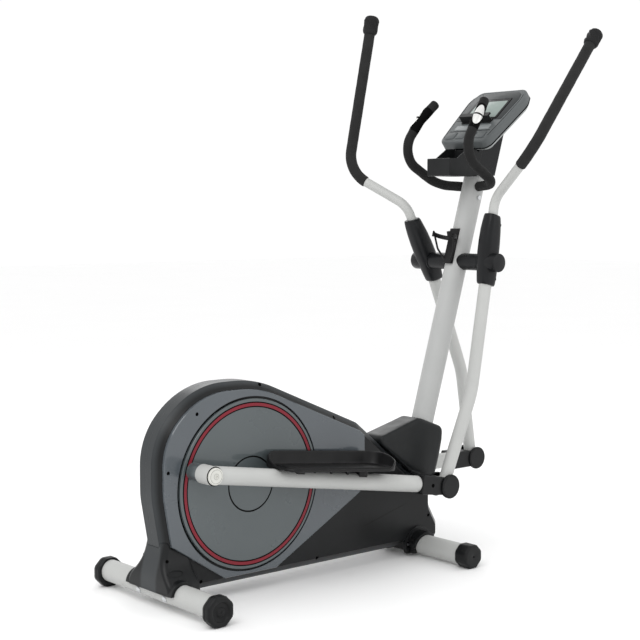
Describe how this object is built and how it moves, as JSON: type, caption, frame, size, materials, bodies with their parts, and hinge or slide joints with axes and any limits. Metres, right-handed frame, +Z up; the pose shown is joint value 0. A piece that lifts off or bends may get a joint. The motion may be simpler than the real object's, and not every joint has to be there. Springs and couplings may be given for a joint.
{
  "type": "elliptical trainer",
  "caption": "Rear-crank elliptical trainer: enclosed drive, leaning mast, linked swing arms with foot plates, fixed handlebar and console on two cross tubes.",
  "frame": {"origin": "on the floor, under the middle of the bounding box at rest", "axes": "+X forward, the way the user faces; +Y to the user's left; +Z up"},
  "size_m": [1.4825, 0.6262, 1.636],
  "materials": {
    "tube_silver": "satin silver-grey powder coat",
    "mast_silver": "satin silver-grey powder coat",
    "frame_black": "satin black paint",
    "steel_bolts": "zinc-plated steel",
    "bearing_steel": "ground steel",
    "flywheel_iron": "turned cast iron",
    "shell_black": "moulded, slightly glossy",
    "panel_grey": "glossy metallic grey",
    "disc_grey": "glossy metallic grey",
    "ring_red": "glossy dark red",
    "screw_black": "black oxide",
    "boot_charcoal": "fine moulded grain",
    "cover_charcoal": "fine moulded grain",
    "cap_charcoal": "fine moulded grain",
    "tray_charcoal": "fine moulded grain",
    "knob_black": "matt rubber with spiral ribs",
    "foam_black": "closed-cell foam",
    "plate_black": "coarse grain with raised strips",
    "sensor_chrome": "plated contact plates",
    "console_silver": "silver paint",
    "key_grey": "satin",
    "screen_glass": "grey-green liquid crystal window",
    "ledge_black": "satin black",
    "pin_silver": "turned end caps",
    "pulley_black": "moulded nylon",
    "belt_rubber": "ribbed belt"
  },
  "bodies": {
    "frame": {"main_frame": "frame_black", "rear_stabilizer": "tube_silver", "front_stabilizer": "tube_silver", "frame_bolts": "steel_bolts", "mast": "mast_silver", "mast_boot": "boot_charcoal", "housing_left": "shell_black", "housing_right": "shell_black", "side_panel_left": "panel_grey", "side_panel_right": "panel_grey", "housing_screws": "screw_black", "rear_foot_cover": "shell_black", "crank_bearings": "bearing_steel", "drive_belt": "belt_rubber", "flywheel_axle": "steel_bolts", "pivot_shaft": "steel_bolts", "pivot_spacers": "cover_charcoal", "handlebar": "tube_silver", "handle_foams": "foam_black", "pulse_sensors": "sensor_chrome", "console_housing": "console_silver", "console_back": "cover_charcoal", "console_screen": "screen_glass", "tablet_ledge": "ledge_black", "console_neck": "cover_charcoal", "cup_tray": "tray_charcoal", "bottle_cage": "tray_charcoal", "front_caps": "cap_charcoal"},
    "crank": {"crank_axle": "bearing_steel", "crank_arms": "frame_black", "crank_disc_right": "disc_grey", "crank_disc_left": "disc_grey", "disc_rings": "ring_red", "drive_pulley": "pulley_black"},
    "flywheel_body": {"flywheel": "flywheel_iron"},
    "brake_body": {"brake_bracket": "frame_black"},
    "leveller_left_body": {"leveller_left": "cap_charcoal"},
    "leveller_right_body": {"leveller_right": "cap_charcoal"},
    "right_arm_body": {"right_swing_leg": "tube_silver", "right_swing_bar": "tube_silver", "right_pivot_cover": "cover_charcoal", "right_grip": "foam_black", "right_knob": "knob_black"},
    "right_pedal_body": {"right_pedal_arm": "tube_silver", "right_arm_pins": "pin_silver", "right_joint_cover": "cover_charcoal", "right_foot_plate": "plate_black"},
    "left_arm_body": {"left_swing_leg": "tube_silver", "left_swing_bar": "tube_silver", "left_pivot_cover": "cover_charcoal", "left_grip": "foam_black", "left_knob": "knob_black"},
    "left_pedal_body": {"left_pedal_arm": "tube_silver", "left_arm_pins": "pin_silver", "left_joint_cover": "cover_charcoal", "left_foot_plate": "plate_black"},
    "key_1_body": {"console_key_1": "key_grey"},
    "key_2_body": {"console_key_2": "key_grey"},
    "key_3_body": {"console_key_3": "key_grey"},
    "key_4_body": {"console_key_4": "key_grey"}
  },
  "joints": [
    {"name": "right_arm_swing", "type": "hinge", "parent": "frame", "child": "right_arm_body", "pos_m": [0.4033, 0, 0.8711], "axis": [0, -1, 0], "range_deg": [0, 32.86]},
    {"name": "left_arm_swing", "type": "hinge", "parent": "frame", "child": "left_arm_body", "pos_m": [0.4033, 0, 0.8711], "axis": [0, -1, 0], "range_deg": [-32.86, 0]},
    {"name": "right_pedal_pivot", "type": "hinge", "parent": "right_arm_body", "child": "right_pedal_body", "pos_m": [0.22192, -0.126, 0.21708], "axis": [0, -1, 0], "range_deg": [-24.9, 0]},
    {"name": "left_pedal_pivot", "type": "hinge", "parent": "left_arm_body", "child": "left_pedal_body", "pos_m": [0.60578, 0.126, 0.22331], "axis": [0, -1, 0], "range_deg": [0, 24.9]},
    {"name": "crank_turn", "type": "hinge", "parent": "frame", "child": "crank", "pos_m": [-0.445, 0, 0.297], "axis": [0, 1, 0], "continuous": true},
    {"name": "flywheel_spin", "type": "hinge", "parent": "frame", "child": "flywheel_body", "pos_m": [-0.073, 0, 0.235], "axis": [0, 1, 0], "continuous": true},
    {"name": "brake_swing", "type": "hinge", "parent": "frame", "child": "brake_body", "pos_m": [0.06, 0, 0.217], "axis": [0, 1, 0], "range_deg": [0, 8], "stiffness_Nm_per_rad": 0.5, "springref_deg": -22.92},
    {"name": "leveller_left_turn", "type": "hinge", "parent": "frame", "child": "leveller_left_body", "pos_m": [-0.698, 0.253, 0.044], "axis": [0, 1, 0], "continuous": true},
    {"name": "leveller_right_turn", "type": "hinge", "parent": "frame", "child": "leveller_right_body", "pos_m": [-0.698, -0.253, 0.044], "axis": [0, 1, 0], "continuous": true},
    {"name": "key_1_press", "type": "slide", "parent": "frame", "child": "key_1_body", "axis": [0.6534, 0, -0.757], "range_m": [0, 0.0015], "stiffness_N_per_m": 400, "springref_m": -0.001},
    {"name": "key_2_press", "type": "slide", "parent": "frame", "child": "key_2_body", "axis": [0.6534, 0, -0.757], "range_m": [0, 0.0015], "stiffness_N_per_m": 400, "springref_m": -0.001},
    {"name": "key_3_press", "type": "slide", "parent": "frame", "child": "key_3_body", "axis": [0.6534, 0, -0.757], "range_m": [0, 0.0015], "stiffness_N_per_m": 400, "springref_m": -0.001},
    {"name": "key_4_press", "type": "slide", "parent": "frame", "child": "key_4_body", "axis": [0.6534, 0, -0.757], "range_m": [0, 0.0015], "stiffness_N_per_m": 400, "springref_m": -0.001}
  ],
  "couplings": [
    {"joint": "left_arm_swing", "follows": "right_arm_swing", "ratio": -1},
    {"joint": "right_pedal_pivot", "follows": "right_arm_swing", "ratio": -0.75757},
    {"joint": "left_pedal_pivot", "follows": "right_arm_swing", "ratio": 0.75757},
    {"joint": "crank_turn", "follows": "right_arm_swing", "ratio": 5.4783},
    {"joint": "flywheel_spin", "follows": "right_arm_swing", "ratio": 41.087}
  ]
}
